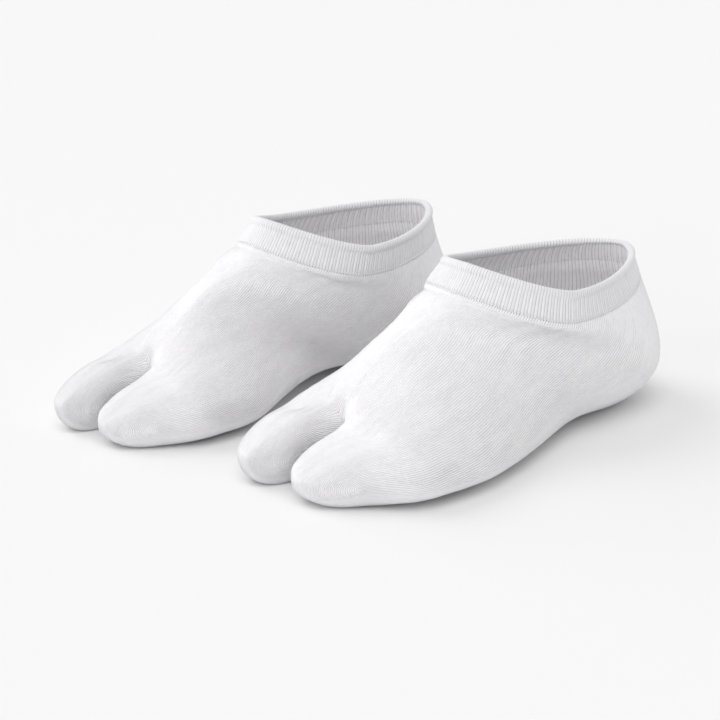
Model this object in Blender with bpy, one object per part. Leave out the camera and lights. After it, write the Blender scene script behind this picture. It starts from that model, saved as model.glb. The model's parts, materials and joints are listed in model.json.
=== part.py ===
"""A pair of split-toe (tabi) socks in white cotton knit, filled out as if worn and standing on their soles.

Metres, +Z up, toes towards -Y, each sock's little-toe side towards +X. The pair's box is centred on the
origin and stands on z = 0. Sizes below are millimetres. In a sock's own frame x runs out to the little-toe
side, y runs forward from the back of the heel, and z runs up from the floor.

Each sock is a skin of slanted rings, fanned round the heel from the ankle opening to the toe split, where
the last ring parts into a big-toe pocket and a four-toe pocket. The ribbed cuff is a second piece above.
"""

from collections import namedtuple

import bmesh
import bpy
import numpy as np

MM = 0.001

# knit walls
BODY_WALL = 1.5
SEAM_GAP = 0.6
SEAM_LIFT = 0.85

# cuff: ribs stand on the outside of the band, and its top is rolled
RIBS = 96
RIB_RISE = 0.7
CUFF_OUT = 0.7
CUFF_IN = 1.2
RIB_FOOT = 1.2
ROLL_RADIUS = 1.9
ROLL_OUT = -0.5
ROLL_TURNS = (-20, 50, 125, 200)

# facets: rings and points of the foot, which crowd over the instep and under the sole, and of the toe pockets
RINGS = 18
RING_POINTS = 42
CROWDING = 0.35
TOE_RINGS = 8
WEB_POINTS = 5
FINE_TURNS = 180
NEXT_PLACE = 0.02

# Rings from the rim to the toe split. top is the point over the instep, sole the point behind or under it.
# belly is how far up the ring its widest place is, the rounds are superellipse powers of its two halves,
# dip is how far its sides hang below and ridge_x leans the instep over. At the far sock's outer side waist
# draws the ring in, or below 0 widens it, and lift raises its sole, or below 0 lowers it.
COLUMNS = "top_y top_z sole_y sole_z ridge_x out_w in_w belly top_round sole_round dip waist lift"
Ring = namedtuple("Ring", COLUMNS)
RINGS_OF_THE_FOOT = {
    "rim": Ring(120, 87, 15, 76.5, 0, 33.5, 43, 0.66, 1.6, 1.7, 9, -6, 0),
    "cuff seam": Ring(128.5, 74.5, 13.5, 66, 0, 39.5, 49, 0.65, 1.8, 1.9, 10, -2, -2),
    "ankle": Ring(134.5, 73, 7.5, 48.5, 0, 42, 48, 0.57, 1.9, 2.05, 8.5, 1, -2),
    "heel back": Ring(140, 70.5, 3, 29, 0, 42, 46.5, 0.49, 2.15, 2.15, 4, 1, -1),
    "heel": Ring(145.5, 67.5, 7, 10.5, -1, 41, 44.5, 0.42, 2.3, 2.1, 0.5, 1.5, -0.5),
    "heel base": Ring(152.5, 64, 28.5, -2.5, -2, 36.5, 40, 0.39, 2.3, 1.85, -1.5, 4, -1.5),
    "shank": Ring(160.5, 58, 64, 0, -5, 37, 39.5, 0.37, 2.15, 2.05, -1, 12, 0),
    "arch": Ring(169, 50.5, 102, 0, -7.5, 45.5, 41, 0.34, 2.05, 2.5, -0.5, 17.5, 5.5),
    "instep": Ring(178, 43.5, 140, -1, -7.5, 53.5, 42.5, 0.32, 2.15, 2.65, -0.5, 11.5, 4),
    "ball": Ring(186.5, 38, 162, -1.5, -6.5, 55.5, 43, 0.35, 2.4, 2.8, -1.5, 6, 1),
    "split": Ring(194.5, 34, 183, -1.5, -4, 54.5, 43, 0.38, 2.6, 2.85, -2, 5.5, 0),
}
SEAM_RING = 1
RIDGE_POWER = 1.5

# The valley that leads over the toes into the split.
VALLEY_DEPTH = 8
VALLEY_WIDTH = 4
VALLEY_RINGS = 0.9

# Toe pockets. Each width, height and nose place is given at the split and at the tip. The ends say at what
# share of the pocket's length each side starts to round in: away from the split, next to it, above and below.
# A section's superellipse power is the gap's on the side next to the split.
Toe = namedtuple("Toe", "side tip_y nose_x nose_z outer gap top outer_end gap_end top_end sole_end")
TOES = (
    Toe(-1, 236, (-27.5, -24.5), 14, (-41, -40.5), (-9, -14.5), (33.5, 24), 0.46, 0.54, 0.29, 0.65),
    Toe(1, 233.5, (16.5, 10), 13, (49.5, 28.5), (-2.5, -5), (33, 19), 0.09, 0.57, 0.35, 0.56),
)
TOE_POWER = 2.3
GAP_POWER = 3.2
TOE_PRESS = 1
GAP_CORNER = 55

# Where along a pocket its sides and its wall at the gap have taken the pocket's own section, and the share of
# a side that goes over from one to the other.
SIDE_BLEND = 0.55
GAP_BLEND = 0.35
GAP_REACH = 0.2

# Where each sock stands: the middle of its length, its turn, and its width against the near sock's.
Sock = namedtuple("Sock", "name x y turn width waisted")
SOCKS = (
    Sock("sock_near", 61.5, 6, -2.4, 1.0, False),
    Sock("sock_far", -54.5, -13, -0.6, 0.88, True),
)
MID_Y = 125

KNIT_COLOUR = (0.86, 0.86, 0.875, 1)
RIB_COLOUR = (0.84, 0.84, 0.86, 1)
COTTON_ROUGHNESS = 0.92


def spline(rows, places):
    """A natural cubic spline through rows, which stand at 0, 1, 2 and so on, read at places."""
    count = len(rows)
    matrix = np.eye(count)
    force = np.zeros_like(rows)
    for i in range(1, count - 1):
        matrix[i, i - 1 : i + 2] = 1, 4, 1
        force[i] = 6 * (rows[i - 1] - 2 * rows[i] + rows[i + 1])
    bend = np.linalg.solve(matrix, force)
    first = np.clip(np.floor(places).astype(int), 0, count - 2)
    t = (places - first)[:, None]
    straight = rows[first] * (1 - t) + rows[first + 1] * t
    return straight - t * (1 - t) / 6 * ((2 - t) * bend[first] + (1 + t) * bend[first + 1])


def power(value, exponent):
    """A power that keeps the sign."""
    return np.sign(value) * np.abs(value) ** exponent


def slanted_rings(sock, places, turns):
    """Points of the foot, one row for each place along the rings and one column for each turn round them.

    A turn is 0 over the instep, a quarter circle at the outer side and half a circle under the sole. A fourth
    number with each point is how deep the valley is there.
    """
    table = np.array([list(ring) for ring in RINGS_OF_THE_FOOT.values()], float)
    places = np.asarray(places, float)
    columns = [column[:, None] for column in spline(table, places).T]
    ring = Ring(*columns)
    side, rise = np.sin(turns)[None], np.cos(turns)[None]
    exponent = 2 / np.where(rise >= 0, ring.top_round, ring.sole_round)
    height = ring.belly + np.where(rise >= 0, 1 - ring.belly, ring.belly) * power(rise, exponent)
    x = ring.ridge_x * np.clip(height, 0, 1) ** RIDGE_POWER
    x = x + np.where(side >= 0, ring.out_w - ring.waist * sock.waisted, ring.in_w) * power(side, exponent)
    y = ring.sole_y + (ring.top_y - ring.sole_y) * height
    sole_z = ring.sole_z + ring.lift * sock.waisted
    z = sole_z + (ring.top_z - sole_z) * height - ring.dip * side**2
    near_split = np.clip((places[:, None] - len(table) + 1) / VALLEY_RINGS + 1, 0, 1) ** 2
    valley = np.exp(-(((x - ring.ridge_x) / VALLEY_WIDTH) ** 2)) * near_split * (rise > 0)
    return np.stack([x * sock.width, y, z, VALLEY_DEPTH * valley], -1)


def spaced(curve, shares):
    """Points at shares of a curve's length, with any further numbers that go with them."""
    run = np.linalg.norm(np.diff(curve[:, :3], axis=0), axis=1)
    along = np.concatenate([[0], np.cumsum(run)]) / run.sum()
    return np.stack([np.interp(shares, along, values) for values in curve.T], -1)


def foot(sock, places, shares):
    """The same rings, with points at shares of their length: to 0.5 down the outer side, then up the inner."""
    turns = np.linspace(0, 2 * np.pi, 2 * FINE_TURNS + 1)
    outer, inner = 2 * shares[shares < 0.5], 2 * shares[shares >= 0.5] - 1
    rings = slanted_rings(sock, places, turns)
    halves = [(spaced(ring[: FINE_TURNS + 1], outer), spaced(ring[FINE_TURNS:], inner)) for ring in rings]
    points = np.array([np.concatenate(pair) for pair in halves])
    points[..., 2] -= points[..., 3]
    return points[..., :3]


def rounded(share, start):
    """How wide a toe pocket still is at a share of its length: whole up to start, then a quarter ellipse."""
    beyond = np.clip((share - start) / (1 - start), 0, 1)
    return np.sqrt(1 - beyond**2)


def toe_section(toe, share, angles):
    """A toe pocket's section at a share of its length, for angles from its top round its side off the gap."""
    ends = toe.nose_x, toe.outer, toe.gap, toe.top
    nose, outer, gap, top = (np.interp(share, (0, 1), pair) for pair in ends)
    outer_w = (outer - nose) * rounded(share, toe.outer_end)
    gap_w = (nose - gap) * rounded(share, toe.gap_end)
    top_h = (top - toe.nose_z) * rounded(share, toe.top_end)
    sole_h = (toe.nose_z + TOE_PRESS) * rounded(share, toe.sole_end)
    side, rise = np.sin(angles), np.cos(angles)
    exponent = 2 / np.where(side >= 0, TOE_POWER, GAP_POWER)
    x = nose + np.where(side >= 0, outer_w, gap_w) * power(side, exponent)
    z = toe.nose_z + np.where(rise >= 0, top_h, sole_h) * power(rise, exponent)
    return np.stack([x, np.zeros_like(x), z], -1)


def toe_rings(sock, toe, split_ring, slope, web, side_shares, web_shares):
    """Rings of one toe pocket, from just past the split to just short of the tip.

    split_ring holds the last ring's points from the top of the split round this toe's side to its foot,
    slope how they move as y grows, and web the points that close the split, from its foot to its top.
    Each ring blends from those, carried forward, into the pocket's own section, and soonest at the gap.
    """
    start = np.concatenate([split_ring, web])
    loose = np.clip(np.minimum(side_shares, 1 - side_shares) / GAP_REACH, 0, 1)
    ahead = np.tile([0.0, 1.0, 0.0], (len(start), 1))
    ahead[: len(slope)] += (slope - (0, 1, 0)) * loose[:, None]
    loose = np.concatenate([loose, np.zeros(len(web))])
    side_angles = np.radians(np.linspace(-GAP_CORNER, 180 + GAP_CORNER, FINE_TURNS))
    web_angles = np.radians(np.linspace(180 + GAP_CORNER, 360 - GAP_CORNER, FINE_TURNS))
    split_y = start[:, 1].mean()
    rings = []
    for step in range(1, TOE_RINGS):
        share = np.sin(np.pi / 2 * step / TOE_RINGS)
        forward = (toe.tip_y - split_y) * share
        shaped = np.concatenate(
            [
                spaced(toe_section(toe, share, side_angles), side_shares),
                spaced(toe_section(toe, share, web_angles), web_shares),
            ]
        )
        shaped = shaped * (sock.width, 1, 1) + (0, split_y + forward, 0)
        carried = start + ahead * forward
        slow = np.clip(share / SIDE_BLEND, 0, 1)
        slow = slow * slow * (3 - 2 * slow)
        quick = np.sqrt(np.clip(share / GAP_BLEND, 0, 1))
        blend = (quick + (slow - quick) * loose)[:, None]
        rings.append(carried + (shaped - carried) * blend)
    return np.array(rings)


def below_seam(grid):
    """How far the body's top edge stands back from the cuff seam, half the gap between the two pieces."""
    run = grid[1] - grid[0]
    return run / np.linalg.norm(run, axis=1)[:, None] * SEAM_GAP / 2


def band(before, after):
    """Quads between two closed loops of point numbers."""
    count = len(before)
    return [(before[j], after[j], after[(j + 1) % count], before[(j + 1) % count]) for j in range(count)]


def sock_skin(sock):
    """The outer skin of a sock's body, open at the cuff seam, as points and faces."""
    last = len(RINGS_OF_THE_FOOT) - 1
    half = RING_POINTS // 2
    even = np.arange(RING_POINTS) / RING_POINTS
    shares = even - CROWDING * np.sin(4 * np.pi * even) / (4 * np.pi)
    grid = foot(sock, np.linspace(SEAM_RING, last, RINGS), shares)
    grid[0] += below_seam(grid)
    points = list(grid.reshape(-1, 3))
    loops = np.arange(len(points)).reshape(RINGS, RING_POINTS)
    faces = [face for before, after in zip(loops, loops[1:]) for face in band(before, after)]
    ring = grid[-1]
    run = ring - foot(sock, [last - NEXT_PLACE], shares)[0]
    slope = run / run[:, 1:2]
    web_shares = np.linspace(0, 1, WEB_POINTS + 2)[1:-1]
    web = ring[half] + (ring[0] - ring[half]) * web_shares[:, None]
    web_ids = len(points) + np.arange(WEB_POINTS)
    points += list(web)
    for toe in TOES:
        side = toe.side * np.arange(half + 1) % RING_POINTS
        before = np.concatenate([loops[-1][side], web_ids])
        side_shares = 2 * shares[: half + 1]
        for pocket_ring in toe_rings(sock, toe, ring[side], slope[side], web, side_shares, web_shares):
            after = len(points) + np.arange(len(before))
            points += list(pocket_ring)
            faces += band(before, after)
            before = after
        points.append((toe.nose_x[1] * sock.width, toe.tip_y, toe.nose_z))
        faces += [(i, len(points) - 1, j) for i, j in zip(before, np.roll(before, -1))]
    points = np.array(points)
    points[:, 2] = np.maximum(points[:, 2], 0)
    return points, faces


def cuff_profile(height):
    """The cuff's section, from its inner foot round to the inner side of its roll.

    Each row is the share of the height, the distance out from the sock's skin and whether ribs stand there.
    """
    roll = height - ROLL_RADIUS
    rows = [(SEAM_LIFT, -CUFF_IN, 0), (SEAM_GAP / 2, CUFF_OUT, 0), (RIB_FOOT, CUFF_OUT, 1)]
    rows.append((roll - ROLL_RADIUS, CUFF_OUT, 1))
    for angle in np.radians(ROLL_TURNS):
        rows.append((roll + ROLL_RADIUS * np.sin(angle), ROLL_OUT + ROLL_RADIUS * np.cos(angle), 0))
    rows.append((roll - ROLL_RADIUS, -CUFF_IN, 0))
    return [(up / height, out, ribbed) for up, out, ribbed in rows]


def cuff_solid(sock):
    """The ribbed cuff as points and faces: a closed section for each rib top and each furrow between ribs."""
    count = 2 * RIBS
    shares = np.arange(count) / count
    seam, rim = foot(sock, [SEAM_RING, 0], shares)
    height = np.linalg.norm(rim - seam, axis=1).mean()
    points = []
    rows = cuff_profile(height)
    for share, out, ribbed in rows:
        place = SEAM_RING * (1 - share)
        here, above = foot(sock, [place, place - NEXT_PLACE], shares)
        along = np.roll(here, -1, 0) - np.roll(here, 1, 0)
        outwards = np.cross(along, here - above)
        outwards /= np.linalg.norm(outwards, axis=1)[:, None]
        rise = RIB_RISE * ribbed * (np.arange(count) % 2)
        points.append(here + outwards * (out + rise)[:, None])
    loops = np.arange(len(rows) * count).reshape(len(rows), count)
    faces = [face for before, after in zip(loops, np.roll(loops, -1, 0)) for face in band(before, after)]
    return np.concatenate(points), faces


def placed(points):
    """Points in metres, with the sock's length along -Y and its middle over the origin."""
    return np.stack([points[:, 0], MID_Y - points[:, 1], points[:, 2]], -1) * MM


def knit_material(name, colour):
    material = bpy.data.materials.new(name)
    material.use_nodes = True
    shader = material.node_tree.nodes["Principled BSDF"]
    shader.inputs["Base Color"].default_value = colour
    shader.inputs["Roughness"].default_value = COTTON_ROUGHNESS
    shader.inputs["Metallic"].default_value = 0
    material.diffuse_color = colour
    return material


def add_piece(name, points, faces, material):
    """A mesh object with its faces pointing out."""
    mesh = bpy.data.meshes.new(name)
    mesh.from_pydata(placed(points).tolist(), [], [[int(i) for i in face] for face in faces])
    shape = bmesh.new()
    shape.from_mesh(mesh)
    bmesh.ops.recalc_face_normals(shape, faces=shape.faces)
    shape.to_mesh(mesh)
    shape.free()
    mesh.shade_smooth()
    mesh.materials.append(material)
    piece = bpy.data.objects.new(name, mesh)
    bpy.context.scene.collection.objects.link(piece)
    return piece


def add_wall(piece):
    """The knit's thickness, inwards from the skin."""
    wall = piece.modifiers.new("wall", "SOLIDIFY")
    wall.thickness = BODY_WALL * MM
    wall.offset = -1
    wall.use_quality_normals = True


def centre_pair(pieces):
    """Moves the pair so that its box is centred over the origin, with the soles on z = 0."""
    bpy.context.view_layer.update()
    corners = np.array([piece.matrix_world @ v.co for piece in pieces for v in piece.data.vertices])
    middle = (corners.min(axis=0) + corners.max(axis=0)) / 2
    for piece in pieces:
        piece.location.x -= middle[0]
        piece.location.y -= middle[1]


def build():
    for old in list(bpy.data.objects):
        bpy.data.objects.remove(old)
    knit = knit_material("cotton_knit", KNIT_COLOUR)
    rib = knit_material("cotton_rib", RIB_COLOUR)
    pieces = []
    for sock in SOCKS:
        body = add_piece(sock.name + "_body", *sock_skin(sock), knit)
        add_wall(body)
        cuff = add_piece(sock.name + "_cuff", *cuff_solid(sock), rib)
        for piece in (body, cuff):
            piece.location = (sock.x * MM, sock.y * MM, 0)
            piece.rotation_euler.z = np.radians(sock.turn)
            pieces.append(piece)
    centre_pair(pieces)


build()
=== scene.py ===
"""A pair of split-toe (tabi) socks in plain white cotton knit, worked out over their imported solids.

Sizes are millimetres until a mesh is made, in metres. In a sock's own frame x runs out to the little-toe
side, y runs forward from the back of the heel, and z runs up from the floor. A place counts the slanted
rings of the foot, from 0 at the rim to 10 at the toe split, and a share counts once round a ring, from 0
over the instep to 0.25 at the outer side and 0.5 under the sole.
"""

from collections import namedtuple
import json

import bpy
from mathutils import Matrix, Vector
import numpy as np

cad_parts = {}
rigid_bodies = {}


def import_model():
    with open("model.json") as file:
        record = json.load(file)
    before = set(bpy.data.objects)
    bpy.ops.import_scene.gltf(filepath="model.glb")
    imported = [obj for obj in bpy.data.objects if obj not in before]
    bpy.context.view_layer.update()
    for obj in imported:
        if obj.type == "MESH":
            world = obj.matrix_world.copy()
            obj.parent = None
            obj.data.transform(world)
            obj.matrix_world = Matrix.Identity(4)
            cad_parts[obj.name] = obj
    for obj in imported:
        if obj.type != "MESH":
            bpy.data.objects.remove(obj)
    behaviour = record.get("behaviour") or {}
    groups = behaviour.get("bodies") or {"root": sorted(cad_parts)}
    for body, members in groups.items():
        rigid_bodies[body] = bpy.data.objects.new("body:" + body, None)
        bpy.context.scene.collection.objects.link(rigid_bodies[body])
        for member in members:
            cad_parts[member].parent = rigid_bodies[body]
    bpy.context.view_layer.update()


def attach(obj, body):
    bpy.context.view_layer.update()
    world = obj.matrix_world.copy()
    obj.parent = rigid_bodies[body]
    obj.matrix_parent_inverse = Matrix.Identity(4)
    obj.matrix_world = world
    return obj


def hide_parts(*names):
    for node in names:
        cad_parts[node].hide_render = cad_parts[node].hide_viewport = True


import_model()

bl_info = {
    "name": "Tabi Socks",
    "version": (1, 0, 0),
    "blender": (4, 5, 0),
    "location": "View3D > Sidebar > Tabi",
    "description": "Split-toe socks in white cotton knit with ribbed cuffs",
    "category": "Add Mesh",
}

MM = 0.001

# Rings from the rim to the toe split, as in the solids. top is the point over the instep, sole the point
# behind or under it. belly is how far up the ring its widest place is, the rounds are superellipse powers of
# its two halves, dip is how far its sides hang below and ridge_x leans the instep over. The far sock is drawn
# in by waist at its outer side and its sole is raised by lift.
COLUMNS = "top_y top_z sole_y sole_z ridge_x out_w in_w belly top_round sole_round dip waist lift"
Ring = namedtuple("Ring", COLUMNS)
RINGS_OF_THE_FOOT = {
    "rim": Ring(120, 87, 15, 76.5, 0, 33.5, 43, 0.66, 1.6, 1.7, 9, -6, 0),
    "cuff seam": Ring(128.5, 74.5, 13.5, 66, 0, 39.5, 49, 0.65, 1.8, 1.9, 10, -2, -2),
    "ankle": Ring(134.5, 73, 7.5, 48.5, 0, 42, 48, 0.57, 1.9, 2.05, 8.5, 1, -2),
    "heel back": Ring(140, 70.5, 3, 29, 0, 42, 46.5, 0.49, 2.15, 2.15, 4, 1, -1),
    "heel": Ring(145.5, 67.5, 7, 10.5, -1, 41, 44.5, 0.42, 2.3, 2.1, 0.5, 1.5, -0.5),
    "heel base": Ring(152.5, 64, 28.5, -2.5, -2, 36.5, 40, 0.39, 2.3, 1.85, -1.5, 4, -1.5),
    "shank": Ring(160.5, 58, 64, 0, -5, 37, 39.5, 0.37, 2.15, 2.05, -1, 12, 0),
    "arch": Ring(169, 50.5, 102, 0, -7.5, 45.5, 41, 0.34, 2.05, 2.5, -0.5, 17.5, 5.5),
    "instep": Ring(178, 43.5, 140, -1, -7.5, 53.5, 42.5, 0.32, 2.15, 2.65, -0.5, 11.5, 4),
    "ball": Ring(186.5, 38, 162, -1.5, -6.5, 55.5, 43, 0.35, 2.4, 2.8, -1.5, 6, 1),
    "split": Ring(194.5, 34, 183, -1.5, -4, 54.5, 43, 0.38, 2.6, 2.85, -2, 5.5, 0),
}
SEAM_RING = 1
SPLIT_RING = 10
RIDGE_POWER = 1.5
FINE_TURNS = 720
NEXT_PLACE = 0.02

# The valley that leads over the toes into the split.
VALLEY_DEPTH = 8
VALLEY_WIDTH = 4
VALLEY_RINGS = 0.9

# Toe pockets. Each width, height and nose place is given at the split and at the tip. The ends say at what
# share of the pocket's length each side starts to round in: away from the split, next to it, above and below.
Toe = namedtuple("Toe", "side tip_y nose_x nose_z outer gap top outer_end gap_end top_end sole_end")
TOES = (
    Toe(-1, 236, (-27.5, -24.5), 14, (-41, -40.5), (-9, -14.5), (33.5, 24), 0.46, 0.54, 0.29, 0.65),
    Toe(1, 233.5, (16.5, 10), 13, (49.5, 28.5), (-2.5, -5), (33, 19), 0.09, 0.57, 0.35, 0.56),
)
TOE_POWER = 2.3
GAP_POWER = 3.2
TOE_PRESS = 1
GAP_CORNER = 55
SIDE_BLEND = 0.55
GAP_BLEND = 0.35
GAP_REACH = 0.2

# Where each sock stands: the middle of its length, its turn, and its width against the near sock's.
Sock = namedtuple("Sock", "name x y turn width waisted")
SOCKS = (
    Sock("sock_near", 53.911, 3.861, -2.4, 1.0, False),
    Sock("sock_far", -62.089, -15.139, -0.6, 0.88, True),
)
MID_Y = 125

# How finely a skin is made: columns to a quarter of a ring and to half of the wall in the split, then rings
# of the foot, rings of a toe pocket before its end, and steps over its end from top to sole.
Detail = namedtuple("Detail", "quarter web rings sleeve cap")
OUTSIDE = Detail(240, 56, 46, 18, 30)
INSIDE = Detail(96, 16, 20, 7, 7)
STEPS_OF_A_WALE = 4

# The wales swing forward over the ankle's sides and come back down over the shank. The swing is a share of a
# ring; it grows and fades between pairs of places.
WALE_SWING = 0.045
SWING_GROWS = (1, 3.8)
SWING_FADES = (4, 6.6)
CAP_START = 0.6
CAP_TABLE = 91

# The knit is uneven: random heights stand this many wales and millimetres apart, and a wale's or rib's height
# is between the least and the most of them.
UNEVEN_GRID = (40, 120)
UNEVEN_WALES = 2
UNEVEN_RUN = 9
UNEVEN_LEAST = 0.6
UNEVEN_SPAN = 0.8

# How far below the seam the ribs inside fade out.
INNER_RIBS_END = 60

# Soft creases, each from one place and share to another, with its width, its depth and how many spots it is
# made of. The last two are the mitres of the heel pocket.
Crease = namedtuple("Crease", "start end width depth steps", defaults=[9])
CREASES = (
    Crease((1.3, 0.07), (2.9, 0.13), 3.2, 0.45),
    Crease((1.5, 0.16), (3.2, 0.20), 4.1, 0.35),
    Crease((1.4, 0.93), (3.0, 0.88), 3.6, 0.5),
    Crease((1.7, 0.83), (3.3, 0.79), 4.4, 0.3),
    Crease((4.4, -0.06), (4.9, 0.05), 4.6, 0.4),
    Crease((5.9, 0.03), (5.4, 0.12), 5.2, 0.3),
    Crease((6.1, 0.96), (5.5, 0.87), 4.8, 0.35),
    Crease((9.2, 0.05), (8.0, 0.09), 3.4, 0.35),
    Crease((9.3, 0.95), (7.9, 0.9), 3.0, 0.4),
    Crease((3.9, 0.3), (4.7, 0.37), 5.5, 0.45),
    Crease((3.8, 0.7), (4.8, 0.63), 5.0, 0.4),
    Crease((2.3, 0.33), (4.9, 0.27), 0.9, 0.3, 60),
    Crease((2.3, 0.67), (4.9, 0.73), 0.9, 0.3, 60),
)

# The cuff: its ribs, the roll round its top, and how far its outer and inner layers stand from the skin.
RIBS = 96
STEPS_OF_A_RIB = 8
ROLL_RADIUS = 1.9
ROLL_OUT = -0.5
BAND_OUT = 0.4
BAND_IN = 1.2

# The raised linking line over the seam outside, and the lip of the inner layer over it inside. Both dip into
# the body's edge. The foot is the face between them, within the wall.
FOOT_UP = 0.1
FOOT_OUT = -0.6
LINK_UP = 0.05
LINK_OUT = 0.2
LINK_RADIUS = 0.5
LINK_BEADS = 0.14
LIP = 0.7
LIP_IN = 0.12
LIP_DIP = 0.2

# What each tube of the near sock is cut to, in metres, all round and along.
BODY_FLAT = (0.24, 0.214)
CUFF_FLAT = (0.295, 0.016)

# The stage: half the floor's side in metres, how wide each distant light looks in degrees, and where each
# comes from, by its property.
FLOOR_HALF = 12
SUN_ANGLE = 38
SUNS = {
    "key": (-0.846, -0.435, 1.1),
    "front": (0.386, -0.375, 1.154),
    "low": (0.019, -1.414, 0.47),
    "back": (-1.316, -0.115, 0.324),
}

# The camera: how far it is turned and raised in degrees, how far away it stands and above its line of sight
# in metres, what it is moved by, and its lens and sensor in millimetres.
CAMERA_TURN = 45.8
CAMERA_RISE = 20.0
CAMERA_AWAY = 1.133
CAMERA_UP = 0.0247
CAMERA_MOVE = (-0.00759, -0.00214, 0)
CAMERA_LENS = 115.9
CAMERA_SENSOR = 36


def spline(rows, places):
    """A natural cubic spline through rows, which stand at 0, 1, 2 and so on, read at places."""
    count = len(rows)
    matrix = np.eye(count)
    force = np.zeros_like(rows)
    for i in range(1, count - 1):
        matrix[i, i - 1 : i + 2] = 1, 4, 1
        force[i] = 6 * (rows[i - 1] - 2 * rows[i] + rows[i + 1])
    bend = np.linalg.solve(matrix, force)
    first = np.clip(np.floor(places).astype(int), 0, count - 2)
    t = (places - first)[:, None]
    straight = rows[first] * (1 - t) + rows[first + 1] * t
    return straight - t * (1 - t) / 6 * ((2 - t) * bend[first] + (1 + t) * bend[first + 1])


def power(value, exponent):
    """A power that keeps the sign."""
    return np.sign(value) * np.abs(value) ** exponent


def slanted_rings(sock, places, turns):
    """Points of the foot, one row for each place along the rings and one column for each turn round them.

    Height up a ring is the cosine of the turn and its side the sine, each raised to 2 over the half's round.
    A fourth number with each point is how deep the valley is there.
    """
    table = np.array([list(ring) for ring in RINGS_OF_THE_FOOT.values()], float)
    places = np.asarray(places, float)
    ring = Ring(*[column[:, None] for column in spline(table, places).T])
    side, rise = np.sin(turns)[None], np.cos(turns)[None]
    exponent = 2 / np.where(rise >= 0, ring.top_round, ring.sole_round)
    height = ring.belly + np.where(rise >= 0, 1 - ring.belly, ring.belly) * power(rise, exponent)
    x = ring.ridge_x * np.clip(height, 0, 1) ** RIDGE_POWER
    x = x + np.where(side >= 0, ring.out_w - ring.waist * sock.waisted, ring.in_w) * power(side, exponent)
    y = ring.sole_y + (ring.top_y - ring.sole_y) * height
    sole_z = ring.sole_z + ring.lift * sock.waisted
    z = sole_z + (ring.top_z - sole_z) * height - ring.dip * side**2
    near_split = np.clip((places[:, None] - SPLIT_RING) / VALLEY_RINGS + 1, 0, 1) ** 2
    valley = np.exp(-(((x - ring.ridge_x) / VALLEY_WIDTH) ** 2)) * near_split * (rise > 0)
    return np.stack([x * sock.width, y, z, VALLEY_DEPTH * valley], -1)


def spaced(curve, shares):
    """Points at shares of a curve's length, with any further numbers that go with them."""
    run = np.linalg.norm(np.diff(curve[:, :3], axis=0), axis=1)
    along = np.concatenate([[0], np.cumsum(run)]) / run.sum()
    return np.stack([np.interp(shares, along, values) for values in curve.T], -1)


def smooth_step(value):
    """0 to 1 with level ends: three squares less two cubes."""
    value = np.clip(value, 0, 1)
    return value * value * (3 - 2 * value)


def swung(place, shares):
    """Shares of a ring moved to where the knit's wales cross it, towards the instep on both sides.

    The move is a sine of one turn, leant to the instep by a third of its own cosine, times the swing there.
    """
    grown = smooth_step((place - SWING_GROWS[0]) / (SWING_GROWS[1] - SWING_GROWS[0]))
    faded = smooth_step((place - SWING_FADES[0]) / (SWING_FADES[1] - SWING_FADES[0]))
    turn = 2 * np.pi * shares
    return shares - WALE_SWING * grown * (1 - faded) * np.sin(turn) * (1 + 0.35 * np.cos(turn))


def foot(sock, places, shares, follow_wales=False):
    """The same rings, with points at shares of their length: down the outer side, then up the inner."""
    turns = np.linspace(0, 2 * np.pi, 2 * FINE_TURNS + 1)
    rings = []
    for place, ring in zip(places, slanted_rings(sock, places, turns)):
        here = swung(place, shares) if follow_wales else shares
        outer, inner = 2 * here[shares < 0.5], 2 * here[shares >= 0.5] - 1
        rings.append(
            np.concatenate([spaced(ring[: FINE_TURNS + 1], outer), spaced(ring[FINE_TURNS:], inner)])
        )
    points = np.array(rings)
    points[..., 2] -= points[..., 3]
    return points[..., :3]


def rounded(share, start):
    """How wide a toe pocket still is at a share of its length: whole up to start, then a quarter ellipse."""
    beyond = np.clip((share - start) / (1 - start), 0, 1)
    return np.sqrt(1 - beyond**2)


def toe_section(toe, share, angles):
    """A toe pocket's superelliptic section at a share of its length, for angles from top round the side."""
    ends = toe.nose_x, toe.outer, toe.gap, toe.top
    nose, outer, gap, top = (np.interp(share, (0, 1), pair) for pair in ends)
    outer_w = (outer - nose) * rounded(share, toe.outer_end)
    gap_w = (nose - gap) * rounded(share, toe.gap_end)
    top_h = (top - toe.nose_z) * rounded(share, toe.top_end)
    sole_h = (toe.nose_z + TOE_PRESS) * rounded(share, toe.sole_end)
    side, rise = np.sin(angles), np.cos(angles)
    exponent = 2 / np.where(side >= 0, TOE_POWER, GAP_POWER)
    x = nose + np.where(side >= 0, outer_w, gap_w) * power(side, exponent)
    z = toe.nose_z + np.where(rise >= 0, top_h, sole_h) * power(rise, exponent)
    return np.stack([x, np.zeros_like(x), z], -1)


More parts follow.
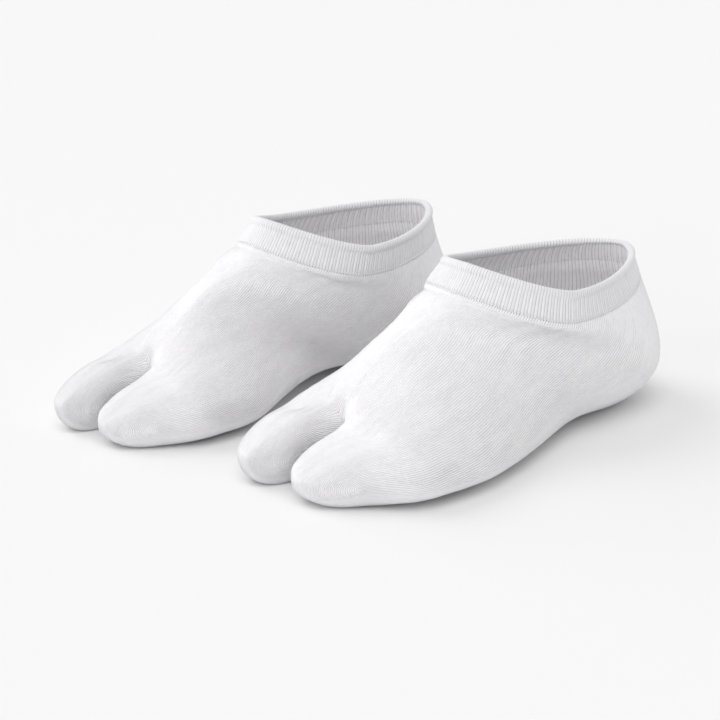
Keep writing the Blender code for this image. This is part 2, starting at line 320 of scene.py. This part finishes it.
def pocket_rings(sock, toe, split_ring, slope, web, pocket_shares):
    """Rings of one toe pocket, each from the top of the split round the toe and back up the split's wall.

    A ring blends from the split's ring, carried forward, into the pocket's own section, soonest at the gap.
    """
    start = np.concatenate([split_ring, web])
    side_shares = np.linspace(0, 1, len(split_ring))
    web_shares = np.linspace(0, 1, len(web) + 2)[1:-1]
    loose = np.clip(np.minimum(side_shares, 1 - side_shares) / GAP_REACH, 0, 1)
    ahead = np.tile([0.0, 1.0, 0.0], (len(start), 1))
    ahead[: len(slope)] += (slope - (0, 1, 0)) * loose[:, None]
    loose = np.concatenate([loose, np.zeros(len(web))])
    side_angles = np.radians(np.linspace(-GAP_CORNER, 180 + GAP_CORNER, FINE_TURNS))
    web_angles = np.radians(np.linspace(180 + GAP_CORNER, 360 - GAP_CORNER, FINE_TURNS))
    split_y = start[:, 1].mean()
    rings = []
    for share in pocket_shares:
        forward = (toe.tip_y - split_y) * share
        shaped = np.concatenate(
            [
                spaced(toe_section(toe, share, side_angles), side_shares),
                spaced(toe_section(toe, share, web_angles), web_shares),
            ]
        )
        shaped = shaped * (sock.width, 1, 1) + (0, split_y + forward, 0)
        carried = start + ahead * forward
        slow = smooth_step(share / SIDE_BLEND)
        quick = np.sqrt(np.clip(share / GAP_BLEND, 0, 1))
        blend = (quick + (slow - quick) * loose)[:, None]
        rings.append(carried + (shaped - carried) * blend)
    nose = (toe.nose_x[1] * sock.width, toe.tip_y, toe.nose_z)
    return np.where(np.asarray(pocket_shares)[:, None, None] >= 1, nose, np.array(rings))


def sphere_of_wales(detail):
    """Where the wales run over a toe's end, as on a ball cut by equal parallel planes.

    With wale angle w and turn b over the end, a point is sine w to the side, cosine w cosine b up and
    cosine w sine b ahead. Returns the share of the cap's length as an arc, and the column round the loop,
    at each point.
    """
    across = detail.quarter + detail.web
    wale = np.linspace(-np.pi / 2, np.pi / 2, across + 1)[None]
    over = np.linspace(0, np.pi, detail.cap + 1)[:, None]
    side = np.sin(wale) * np.ones_like(over)
    up = np.cos(wale) * np.cos(over)
    ahead = np.clip(np.cos(wale) * np.sin(over), 0, 1)
    turn = np.arctan2(side, up)
    turn = np.where(turn < -np.pi / 2 - 1e-9, turn + 2 * np.pi, turn)
    return np.arcsin(ahead), (turn + np.pi / 2) / np.pi * across - detail.web


def sampled(table, rows, columns):
    """A table of points read between its rows and columns; the columns close round."""
    row = np.clip(np.floor(rows).astype(int), 0, len(table) - 2)
    column = np.floor(columns).astype(int)
    down, across = (rows - row)[..., None], (columns - column)[..., None]
    first, second = column % table.shape[1], (column + 1) % table.shape[1]
    upper = table[row, first] * (1 - across) + table[row, second] * across
    lower = table[row + 1, first] * (1 - across) + table[row + 1, second] * across
    return upper * (1 - down) + lower * down


def runs(points):
    """How far along its column each point of a grid lies, in millimetres."""
    steps = np.linalg.norm(np.diff(points, axis=0), axis=-1)
    return np.concatenate([np.zeros((1,) + steps.shape[1:]), np.cumsum(steps, axis=0)])


Patch = namedtuple("Patch", "ids u v turned")


def closed(grid, last=None):
    """A grid whose first column is repeated at the end, plus last where the column counts on."""
    end = grid[:, :1] if last is None else grid[:, :1] + last
    return np.concatenate([grid, end], axis=1)


def sock_skin(sock, detail):
    """A sock's skin below the cuff, as points and patches of quads with wale and course numbers.

    The foot is a grid of its slanted rings. Each toe pocket goes on as rings and ends in a cap whose columns
    carry the wales of its upper side over the tip to its lower side.
    """
    quarter, web_half = detail.quarter, detail.web
    count = 4 * quarter
    shares = np.arange(count) / count
    grid = foot(sock, np.linspace(SEAM_RING, SPLIT_RING, detail.rings), shares, follow_wales=True)
    along = runs(grid)
    column = np.arange(count)
    ids = np.arange(detail.rings * count).reshape(detail.rings, count)
    numbers = np.tile(column / STEPS_OF_A_WALE, (detail.rings, 1))
    points = [grid.reshape(-1, 3)]
    total = grid.size // 3
    patches = [Patch(closed(ids), closed(numbers, count / STEPS_OF_A_WALE), closed(along), False)]
    ring = grid[-1]
    run = ring - foot(sock, [SPLIT_RING - NEXT_PLACE], shares)[0]
    slope = run / run[:, 1:2]
    web_shares = np.linspace(0, 1, 2 * web_half + 1)[1:-1]
    web = ring[2 * quarter] + (ring[0] - ring[2 * quarter]) * web_shares[:, None]
    web_ids = total + np.arange(len(web))
    points.append(web)
    total += len(web)
    around = 2 * (quarter + web_half)
    across = quarter + web_half
    for toe in TOES:
        side = toe.side * np.arange(2 * quarter + 1) % count
        start = np.concatenate([ring[side], web])
        start_run = np.interp(web_shares, (0, 1), along[-1, [2 * quarter, 0]])
        start_run = np.concatenate([along[-1, side], start_run])
        pocket_shares = CAP_START * np.linspace(0, 1, detail.sleeve + 1)[1:]
        sleeve = pocket_rings(sock, toe, ring[side], slope[side], web, pocket_shares)
        sleeve_ids = total + np.arange(sleeve.size // 3).reshape(detail.sleeve, around)
        points.append(sleeve.reshape(-1, 3))
        total += sleeve.size // 3
        loop_ids = np.concatenate([ids[-1][side], web_ids])
        ids_here = np.concatenate([loop_ids[None], sleeve_ids])
        along_here = start_run + runs(np.concatenate([start[None], sleeve]))
        numbers = np.tile(toe.side * np.arange(around) / STEPS_OF_A_WALE, (detail.sleeve + 1, 1))
        last = toe.side * around / STEPS_OF_A_WALE
        turned = toe.side < 0
        patches.append(Patch(closed(ids_here), closed(numbers, last), closed(along_here), turned))
        arcs = np.linspace(0, np.pi / 2, CAP_TABLE)
        table_shares = CAP_START + (1 - CAP_START) * np.sin(arcs)
        table = pocket_rings(sock, toe, ring[side], slope[side], web, table_shares)
        arc, loop_column = sphere_of_wales(detail)
        cap = sampled(table, arc / (np.pi / 2) * (CAP_TABLE - 1), loop_column)
        cap_ids = np.empty((detail.cap + 1, across + 1), int)
        inner = cap[1:-1, 1:-1]
        cap_ids[1:-1, 1:-1] = total + np.arange(inner.size // 3).reshape(inner.shape[:2])
        points.append(inner.reshape(-1, 3))
        total += inner.size // 3
        upper = np.arange(across + 1) - web_half
        lower = quarter + across - np.arange(across + 1)
        rim_ids = sleeve_ids[-1]
        cap_ids[0] = rim_ids[upper % around]
        cap_ids[-1] = rim_ids[lower % around]
        cap_ids[:, 0] = rim_ids[-web_half % around]
        cap_ids[:, -1] = rim_ids[quarter]
        numbers = np.tile(toe.side * upper / STEPS_OF_A_WALE, (detail.cap + 1, 1))
        patches.append(Patch(cap_ids, numbers, along_here[-1][upper % around] + runs(cap), turned))
    points = np.concatenate(points)
    points[:, 2] = np.maximum(points[:, 2], 0)
    return points, patches


def corners(grid):
    """The four corners of each quad of a grid, in the order that faces out of a placed sock."""
    return np.stack([grid[:-1, :-1], grid[1:, :-1], grid[1:, 1:], grid[:-1, 1:]], -1).reshape(-1, 4)


def quads(patches):
    """All quads of some patches: point numbers and the wale and course numbers of their corners."""
    found = []
    for patch in patches:
        sets = [corners(np.asarray(grid)) for grid in (patch.ids, patch.u, patch.v)]
        found.append([s[:, ::-1] for s in sets] if patch.turned else sets)
    return [np.concatenate(sets) for sets in zip(*found)]


def rim_bridge(outer, inner):
    """Triangles that join two closed loops of different point counts, each corner to its nearest share."""
    count = len(outer)
    edges = np.arange(count)
    nearest = np.floor((edges + 0.5) * len(inner) / count + 0.5).astype(int) % len(inner)
    before = np.roll(nearest, 1)
    broad = np.stack([outer[edges], outer[(edges + 1) % count], inner[nearest]], -1)
    change = nearest != before
    narrow = np.stack([outer[edges[change]], inner[nearest[change]], inner[before[change]]], -1)
    return np.concatenate([broad, narrow])


def placed(sock, points):
    """Points in metres where the sock stands, turned about the middle of its length."""
    turn = np.radians(sock.turn)
    x, y = points[:, 0], MID_Y - points[:, 1]
    world = [x * np.cos(turn) - y * np.sin(turn) + sock.x, x * np.sin(turn) + y * np.cos(turn) + sock.y]
    return np.stack(world + [points[:, 2]], -1) * MM


def new_mesh(name, points, faces, u, v, slots=None, smooth=None):
    """A mesh of quads and triangles with a UV map; a quad with a doubled corner becomes a triangle.

    Faces are smooth, but for those whose smooth is false.
    """
    keep = faces != np.roll(faces, 1, axis=1)
    sizes = keep.sum(axis=1)
    smooth = np.ones(len(faces), bool) if smooth is None else smooth
    faces, u, v, smooth = (values[sizes > 2] for values in (faces, u, v, smooth))
    if slots is not None:
        slots = slots[sizes > 2]
    keep, sizes = keep[sizes > 2], sizes[sizes > 2]
    mesh = bpy.data.meshes.new(name)
    mesh.vertices.add(len(points))
    mesh.vertices.foreach_set("co", np.ascontiguousarray(points, dtype=np.float32).ravel())
    mesh.loops.add(int(sizes.sum()))
    mesh.loops.foreach_set("vertex_index", faces[keep].astype(np.int32))
    mesh.polygons.add(len(sizes))
    starts = np.concatenate([[0], np.cumsum(sizes)[:-1]])
    mesh.polygons.foreach_set("loop_start", starts.astype(np.int32))
    mesh.update(calc_edges=True)
    mapped = mesh.uv_layers.new(name="wales")
    mapped.uv.foreach_set("vector", np.stack([u[keep], v[keep]], -1).astype(np.float32).ravel())
    if slots is not None:
        mesh.polygons.foreach_set("material_index", slots.astype(np.int32))
    mesh.polygons.foreach_set("use_smooth", smooth)
    return mesh


def normals_of(mesh):
    """The outward unit normals of a mesh's points."""
    values = np.empty(3 * len(mesh.vertices), np.float32)
    mesh.vertex_normals.foreach_get("vector", values)
    return values.reshape(-1, 3).astype(float)


def skin_normals(points, patches):
    """Outward normals of a sock's skin in its own frame."""
    faces, u, v = quads(patches)
    mesh = new_mesh("trial", points * (1, -1, 1), faces, u, v)
    normals = normals_of(mesh) * (1, -1, 1)
    bpy.data.meshes.remove(mesh)
    return normals


def add_piece(name, mesh, materials, nodes):
    """Puts a piece of cloth into the scene in place of its solids."""
    piece = bpy.data.objects.new(name, mesh)
    bpy.context.scene.collection.objects.link(piece)
    for material in materials:
        mesh.materials.append(material)
    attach(piece, "root")
    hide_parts(*nodes)
    return piece


def uneven(wale, run, seed):
    """Random values from 0 to 1 that change little by little over the wales and along them."""
    grid = np.random.default_rng(seed).random(UNEVEN_GRID + (1,))
    return sampled(grid, run / UNEVEN_RUN, wale / UNEVEN_WALES)[..., 0]


def pressed_in(sock, points):
    """How deep the creases press into each point: a bell across each line, fading to the line's ends."""
    depth = np.zeros(len(points))
    for crease in CREASES:
        nearest = np.full(len(points), np.inf)
        fade = np.zeros(len(points))
        for t in np.linspace(0, 1, crease.steps):
            place, share = np.array(crease.start) * (1 - t) + np.array(crease.end) * t
            spot = foot(sock, [place], np.array([share % 1]))[0, 0]
            away = np.linalg.norm(points - spot, axis=1)
            fade = np.where(away < nearest, np.sin(np.pi * (0.1 + 0.8 * t)), fade)
            nearest = np.minimum(nearest, away)
        depth += crease.depth * fade * np.exp(-((nearest / crease.width) ** 2))
    return depth


def wales_and_runs(points, patches):
    """The wale number and the millimetres along it at each point of a skin."""
    wale, run = np.zeros(len(points)), np.zeros(len(points))
    for patch in patches:
        wale[patch.ids] = patch.u
        run[patch.ids] = patch.v
    return wale, run


def body_piece(sock, sizes, materials):
    """A sock's body: an outer skin with raised wales and an inner one with ribs that fade below the cuff."""
    points, patches = sock_skin(sock, OUTSIDE)
    wale, run = wales_and_runs(points, patches)
    ridge = (0.5 - 0.5 * np.cos(2 * np.pi * wale)) * (UNEVEN_LEAST + UNEVEN_SPAN * uneven(wale, run, 3))
    stand = ridge * sizes.wale_rise / MM - pressed_in(sock, points)
    points = points + skin_normals(points, patches) * stand[:, None]
    inside, inside_patches = sock_skin(sock, INSIDE)
    wale, run = wales_and_runs(inside, inside_patches)
    phase = 2 * np.pi * wale * RIBS / (4 * INSIDE.quarter / STEPS_OF_A_WALE)
    rib = np.sqrt(0.5 - 0.5 * np.cos(phase)) * (1 - smooth_step(run / INNER_RIBS_END))
    stand = sizes.wall / MM + rib * sizes.inner_rise / MM
    inside = inside - skin_normals(inside, inside_patches) * stand[:, None]
    faces, u, v = quads(patches)
    in_faces, in_u, in_v = (values[:, ::-1] for values in quads(inside_patches))
    in_faces = in_faces + len(points)
    outer_rim = np.arange(4 * OUTSIDE.quarter)
    inner_rim = len(points) + np.arange(4 * INSIDE.quarter)
    bridge = rim_bridge(outer_rim, inner_rim)
    bridge = np.concatenate([bridge, bridge[:, 2:]], axis=1)
    blank = np.zeros(bridge.shape)
    all_points = np.concatenate([points, inside])
    all_points[:, 2] = np.maximum(all_points[:, 2], 0)
    mesh = new_mesh(
        sock.name + "_knit",
        placed(sock, all_points),
        np.concatenate([faces, in_faces, bridge]),
        np.concatenate([u, in_u, blank]),
        np.concatenate([v, in_v, blank]),
        np.concatenate([np.zeros(len(faces)), np.ones(len(in_faces)), np.zeros(len(bridge))]),
        np.arange(len(faces) + len(in_faces) + len(bridge)) < len(faces) + len(in_faces),
    )
    flat = (BODY_FLAT[0] * sock.width, BODY_FLAT[1])
    return add_piece(sock.name + "_knit", mesh, materials, [sock.name + "_body"])


CuffRow = namedtuple("CuffRow", "up out ribs inner_ribs rope beads")


def cuff_rows(height):
    """The cuff's section: its foot, linking line, outer layer, roll, and inner layer down to its lip.

    Each row is the height above the seam, how far it stands out from the skin, and how strongly the outer
    ribs, the inner ribs, the linking line and the roll's beads show.
    """
    rows = [CuffRow(FOOT_UP, FOOT_OUT, 0, 0, 0, 0)]
    for angle in np.radians(np.linspace(-135, 75, 10)):
        up, out = LINK_UP + LINK_RADIUS * np.sin(angle), LINK_OUT + LINK_RADIUS * np.cos(angle)
        rows.append(CuffRow(up, out, 0, 0, 1, 0))
    roll = height - ROLL_RADIUS
    for up in np.linspace(1.7, roll - 1.7, 10):
        rows.append(CuffRow(up, BAND_OUT, 1, 0, 0, 0))
    for angle in np.radians(np.linspace(-50, 210, 16)):
        up, out = roll + ROLL_RADIUS * np.sin(angle), ROLL_OUT + ROLL_RADIUS * np.cos(angle)
        rows.append(CuffRow(up, out, 0, 0, 0, 1))
    for up in np.linspace(roll - 1.8, 0.6, 9):
        rows.append(CuffRow(up, -BAND_IN, 0, 1, 0, 0))
    rows.append(CuffRow(0, -BAND_IN - LIP_IN, 0, 1, 0, 0))
    rows.append(CuffRow(-LIP, LIP_DIP - BAND_IN, 0, 1, 0, 0))
    return rows


def cuff_piece(sock, sizes, materials):
    """A ribbed cuff: a closed section carried round the opening, with ribs as waves of one turn."""
    count = RIBS * STEPS_OF_A_RIB
    shares = np.arange(count) / count
    seam, rim = foot(sock, [SEAM_RING, 0], shares)
    height = np.linalg.norm(rim - seam, axis=1).mean()
    phase = 2 * np.pi * shares * RIBS
    single = np.sqrt(0.5 - 0.5 * np.cos(2 * phase))
    pair = 0.5 - 0.5 * np.cos(phase)
    section = cuff_rows(height)
    points = []
    for row in section:
        place = SEAM_RING * (1 - row.up / height)
        here, above = foot(sock, [place, place - NEXT_PLACE], shares)
        along = np.roll(here, -1, 0) - np.roll(here, 1, 0)
        outwards = np.cross(along, here - above)
        outwards /= np.linalg.norm(outwards, axis=1)[:, None]
        strength = UNEVEN_LEAST + UNEVEN_SPAN * uneven(
            2.5 * shares * RIBS, np.full(count, row.up * 2), 5
        )
        rise = row.ribs * (0.6 * single + 0.4 * pair) * strength * sizes.rib_rise
        rise -= row.inner_ribs * np.sqrt(pair) * sizes.inner_rise
        rope = row.rope * LINK_BEADS * np.cos(2 * phase + 3 * row.up)
        stand = row.out + rise / MM + rope + row.beads * sizes.bead_rise / MM * single
        points.append(here + outwards * stand[:, None])
    grid = np.array(points)
    rows = len(grid)
    ids = np.arange(rows * count).reshape(rows, count)
    ids = closed(np.concatenate([ids, ids[:1]]))
    numbers = closed(np.tile(shares * RIBS, (rows + 1, 1)), RIBS)
    along = closed(runs(np.concatenate([grid, grid[:1]])))
    faces, u, v = quads([Patch(ids[::-1], numbers[::-1], along[::-1], False)])
    smooth = ~np.isin(faces // count, (rows - 1, 0, 1)).all(axis=1)
    within = np.array([row.inner_ribs for row in section])[faces // count].all(axis=1)
    mesh = new_mesh(sock.name + "_rib", placed(sock, grid.reshape(-1, 3)), faces, u, v, within, smooth)
    flat = (CUFF_FLAT[0] * (1 + sock.width) / 2, CUFF_FLAT[1])
    return add_piece(sock.name + "_rib", mesh, materials, [sock.name + "_cuff"])


class Value:
    """A value in a material's node tree. Arithmetic on it adds Math nodes."""

    def __init__(self, tree, socket):
        self.tree = tree
        self.socket = socket

    def node(self, kind, settings=None, values=None, output=0):
        """Adds a node: its settings are set first, then the values or links of its sockets."""
        node = self.tree.nodes.new(kind)
        for name, setting in (settings or {}).items():
            setattr(node, name, setting)
        for name, value in (values or {}).items():
            if isinstance(value, Value):
                self.tree.links.new(value.socket, node.inputs[name])
            else:
                node.inputs[name].default_value = value
        return Value(self.tree, node.outputs[output])

    def math(self, operation, *others):
        values = {i: value for i, value in enumerate(others)}
        return self.node("ShaderNodeMath", {"operation": operation}, values)

    def __add__(self, other):
        return self.math("ADD", self, other)

    def __radd__(self, other):
        return self.math("ADD", other, self)

    def __sub__(self, other):
        return self.math("SUBTRACT", self, other)

    def __rsub__(self, other):
        return self.math("SUBTRACT", other, self)

    def __mul__(self, other):
        return self.math("MULTIPLY", self, other)

    def __rmul__(self, other):
        return self.math("MULTIPLY", other, self)

    def __truediv__(self, other):
        return self.math("DIVIDE", self, other)

    def __abs__(self):
        return self.math("ABSOLUTE", self)

    def cosine(self):
        return self.math("COSINE", self)

    def fraction(self):
        return self.math("FRACT", self)

    def limited(self, low, high):
        """0 at low, 1 at high and smooth between."""
        settings = {"interpolation_type": "SMOOTHSTEP"}
        return self.node("ShaderNodeMapRange", settings, {"Value": self, "From Min": low, "From Max": high})


def knit_material(name, look, colour, wales_to_a_number, course):
    """Matt cotton knit: V-stitches up each wale, painted shade in the furrows, soft colour drift and fuzz.

    A stitch is two slanted legs, each highest halfway between the wale's middle and its furrow, and its
    strands come and go along the wale as a cosine that leans with the distance from the middle.
    """
    material = bpy.data.materials.new(name)
    material.use_nodes = True
    tree = material.node_tree
    shader = tree.nodes["Principled BSDF"]
    here = Value(tree, None)
    place = here.node("ShaderNodeTexCoord", output=3)
    mapped = here.node("ShaderNodeUVMap", {"uv_map": "wales"})
    split = here.node("ShaderNodeSeparateXYZ", values={"Vector": mapped})
    wale = split * wales_to_a_number
    stitch = Value(tree, split.socket.node.outputs[1]) / course
    aside = abs(wale.fraction() - 0.5)
    leg = 1 - abs(aside * 4 - 1)
    strand = 0.5 + 0.5 * ((stitch - aside * 1.3) * 2 * np.pi).cosine()
    drift = here.node("ShaderNodeTexNoise", values={"Vector": place, "Scale": look.drift_scale, "Detail": 3})
    fuzz = here.node("ShaderNodeTexNoise", values={"Vector": place, "Scale": 2600, "Detail": 4})
    lengthwise = here.node("ShaderNodeCombineXYZ", values={0: wale, 1: stitch / look.dash_length})
    dash = here.node("ShaderNodeTexNoise", values={"Vector": lengthwise, "Scale": 1.1, "Detail": 2}) - 0.5
    height = leg * (0.55 + 0.45 * strand) + fuzz * 0.5 + dash * look.dash_rise
    bump = here.node(
        "ShaderNodeBump",
        values={"Height": height, "Strength": look.stitch_strength, "Distance": look.stitch_rise},
    )
    # Painted shade: the furrows between wales or ribs are darkened in the colour, standing in for the shade
    # in these hollows.
    furrow = aside.limited(0.36, 0.5)
    shade = 1 - furrow * look.furrow_shade - (1 - strand) * 0.03 + (drift - 0.5) * 0.05
    shade = shade + dash * look.dash_shade
    grey = here.node("ShaderNodeCombineColor", values={0: shade, 1: shade, 2: shade})
    tint = here.node(
        "ShaderNodeMix",
        {"data_type": "RGBA", "blend_type": "MULTIPLY"},
        {"Factor": 1.0, 6: (*colour, 1), 7: grey},
        output=2,
    )
    tree.links.new(tint.socket, shader.inputs["Base Color"])
    tree.links.new((0.86 + fuzz * 0.12).socket, shader.inputs["Roughness"])
    tree.links.new(bump.socket, shader.inputs["Normal"])
    shader.inputs["Sheen Weight"].default_value = look.sheen
    shader.inputs["Sheen Roughness"].default_value = 0.55
    shader.inputs["Specular IOR Level"].default_value = 0.25
    material.diffuse_color = (*colour, 1)
    return material


def add_sun(name, strength, direction):
    """A soft distant light that comes from a direction."""
    sun = bpy.data.lights.new(name, "SUN")
    sun.energy = strength
    sun.angle = np.radians(SUN_ANGLE)
    sun_object = bpy.data.objects.new(name, sun)
    bpy.context.scene.collection.objects.link(sun_object)
    sun_object.rotation_euler = Vector(direction).to_track_quat("Z", "Y").to_euler()


class SockSizes(bpy.types.PropertyGroup):
    """Sizes of the knit."""

    wale_rise: bpy.props.FloatProperty(
        name="Wale rise", description="How far a wale stands proud", default=0.00055, unit="LENGTH"
    )
    wall: bpy.props.FloatProperty(
        name="Wall", description="Thickness of the plain knit", default=0.0012, unit="LENGTH"
    )
    rib_rise: bpy.props.FloatProperty(
        name="Rib rise", description="How far a cuff rib stands out", default=0.00058, unit="LENGTH"
    )
    inner_rise: bpy.props.FloatProperty(
        name="Inner rise", description="How far a rib stands out on the inside", default=0.0008, unit="LENGTH"
    )
    bead_rise: bpy.props.FloatProperty(
        name="Bead rise", description="Height of the beads on the cuff's roll", default=0.00032, unit="LENGTH"
    )


class CottonLook(bpy.types.PropertyGroup):
    """The colour and surface of the cotton."""

    knit_colour: bpy.props.FloatVectorProperty(
        name="Knit colour", description="The body's cotton", subtype="COLOR", default=(0.985, 0.976, 0.993)
    )
    # Painted shade: the cuff's outer cotton is darker than the body's to stand in for the shade between its
    # ribs.
    shaded_rib_colour: bpy.props.FloatVectorProperty(
        name="Rib colour", description="The cuff's cotton", subtype="COLOR", default=(0.86, 0.852, 0.868)
    )
    sheen: bpy.props.FloatProperty(
        name="Sheen", description="Soft light on the fuzz at grazing angles", default=0.4, subtype="FACTOR"
    )
    stitch_rise: bpy.props.FloatProperty(
        name="Stitch rise", description="Height of a stitch's legs", default=0.0002, unit="LENGTH"
    )
    stitch_strength: bpy.props.FloatProperty(
        name="Stitch strength", description="How strongly stitches show", default=0.45, subtype="FACTOR"
    )
    # Painted shade: how much darker the furrows between wales and ribs are painted.
    furrow_shade: bpy.props.FloatProperty(
        name="Furrow shade", description="How much darker the furrows are", default=0.42, subtype="FACTOR"
    )
    dash_length: bpy.props.FloatProperty(
        name="Dash length", description="Stitches to a run of thicker or thinner yarn", default=4
    )
    dash_rise: bpy.props.FloatProperty(
        name="Dash rise", description="How far thicker yarn stands out, against a stitch's legs", default=2.0
    )
    dash_shade: bpy.props.FloatProperty(
        name="Dash shade", description="How much paler thicker yarn is", default=0.18, subtype="FACTOR"
    )
    drift_scale: bpy.props.FloatProperty(
        name="Drift scale", description="Patches of colour drift to a metre", default=60
    )


class StageLook(bpy.types.PropertyGroup):
    """The white sweep and its light."""

    floor_colour: bpy.props.FloatVectorProperty(
        name="Floor colour", description="The white sweep", subtype="COLOR", default=(0.92, 0.92, 0.92)
    )
    key: bpy.props.FloatProperty(name="Key", description="Strength of the soft key light", default=0.66)
    front: bpy.props.FloatProperty(
        name="Front", description="Strength of the high front light", default=0.705
    )
    low: bpy.props.FloatProperty(
        name="Low", description="Strength of the low light on the toes", default=0.44
    )
    back: bpy.props.FloatProperty(
        name="Back", description="Strength of the low light from behind", default=0.51
    )
    fill: bpy.props.FloatProperty(name="Fill", description="Strength of the light all round", default=0.58)


class TABI_OT_bodies(bpy.types.Operator):
    """Makes the plain knit body of each sock"""

    bl_idname = "tabi.bodies"
    bl_label = "Knit Bodies"

    def execute(self, context):
        sizes, look = context.scene.tabi_sizes, context.scene.tabi_cotton
        outer = knit_material("cotton_knit_out", look, look.knit_colour, 1, 0.9)
        inner = knit_material("cotton_knit_in", look, look.knit_colour, 2, 0.9)
        for sock in SOCKS:
            body_piece(sock, sizes, [outer, inner])
        return {"FINISHED"}


class TABI_OT_cuffs(bpy.types.Operator):
    """Makes the ribbed cuff of each sock"""

    bl_idname = "tabi.cuffs"
    bl_label = "Ribbed Cuffs"

    def execute(self, context):
        sizes, look = context.scene.tabi_sizes, context.scene.tabi_cotton
        # The cuff's outside takes the darker rib colour, which is painted shade of its ribs.
        outer = knit_material("cotton_rib_out", look, look.shaded_rib_colour, 2, 1.0)
        inner = knit_material("cotton_rib_in", look, look.knit_colour, 2, 0.9)
        for sock in SOCKS:
            cuff_piece(sock, sizes, [outer, inner])
        return {"FINISHED"}


class TABI_OT_stage(bpy.types.Operator):
    """Makes the white sweep, the lights and the camera"""

    bl_idname = "tabi.stage"
    bl_label = "Stage"

    def execute(self, context):
        look = context.scene.tabi_stage
        floor_mesh = bpy.data.meshes.new("floor")
        half = FLOOR_HALF
        square = [(-half, -half, 0), (half, -half, 0), (half, half, 0), (-half, half, 0)]
        floor_mesh.from_pydata(square, [], [(0, 1, 2, 3)])
        floor = bpy.data.objects.new("floor", floor_mesh)
        context.scene.collection.objects.link(floor)
        paper = bpy.data.materials.new("white_paper")
        paper.use_nodes = True
        shader = paper.node_tree.nodes["Principled BSDF"]
        shader.inputs["Base Color"].default_value = (*look.floor_colour, 1)
        shader.inputs["Roughness"].default_value = 0.9
        shader.inputs["Specular IOR Level"].default_value = 0.1
        floor_mesh.materials.append(paper)
        world = bpy.data.worlds.new("white_room")
        world.use_nodes = True
        context.scene.world = world
        world.node_tree.nodes["Background"].inputs["Color"].default_value = (1, 1, 1, 1)
        world.node_tree.nodes["Background"].inputs["Strength"].default_value = look.fill
        for name, direction in SUNS.items():
            add_sun(name, getattr(look, name), direction)
        context.scene.view_settings.view_transform = "Standard"
        camera = bpy.data.cameras.new("camera")
        camera.lens = CAMERA_LENS
        camera.sensor_width = CAMERA_SENSOR
        camera_object = bpy.data.objects.new("camera", camera)
        context.scene.collection.objects.link(camera_object)
        turn, rise = np.radians(CAMERA_TURN), np.radians(CAMERA_RISE)
        back = Vector((np.sin(turn) * np.cos(rise), -np.cos(turn) * np.cos(rise), np.sin(rise)))
        up = Vector((-np.sin(turn) * np.sin(rise), np.cos(turn) * np.sin(rise), np.cos(rise)))
        camera_object.location = back * CAMERA_AWAY + up * CAMERA_UP + Vector(CAMERA_MOVE)
        camera_object.rotation_euler = back.to_track_quat("Z", "Y").to_euler()
        context.scene.camera = camera_object
        return {"FINISHED"}


class TABI_PT_panel(bpy.types.Panel):
    """Lists the pieces of the socks and their settings"""

    bl_label = "Tabi Socks"
    bl_idname = "TABI_PT_panel"
    bl_space_type = "VIEW_3D"
    bl_region_type = "UI"
    bl_category = "Tabi"

    def draw(self, context):
        layout = self.layout
        for operator in OPERATORS:
            layout.operator(operator.bl_idname)
        for group in (context.scene.tabi_sizes, context.scene.tabi_cotton, context.scene.tabi_stage):
            box = layout.box()
            for name in group.__annotations__:
                box.prop(group, name)


OPERATORS = (TABI_OT_bodies, TABI_OT_cuffs, TABI_OT_stage)
CLASSES = (SockSizes, CottonLook, StageLook) + OPERATORS + (TABI_PT_panel,)


def register():
    for each in CLASSES:
        bpy.utils.register_class(each)
    bpy.types.Scene.tabi_sizes = bpy.props.PointerProperty(type=SockSizes)
    bpy.types.Scene.tabi_cotton = bpy.props.PointerProperty(type=CottonLook)
    bpy.types.Scene.tabi_stage = bpy.props.PointerProperty(type=StageLook)


def unregister():
    del bpy.types.Scene.tabi_stage
    del bpy.types.Scene.tabi_cotton
    del bpy.types.Scene.tabi_sizes
    for each in reversed(CLASSES):
        bpy.utils.unregister_class(each)


def main():
    register()
    bpy.ops.tabi.bodies()
    bpy.ops.tabi.cuffs()
    bpy.ops.tabi.stage()


if __name__ == "__main__":
    main()
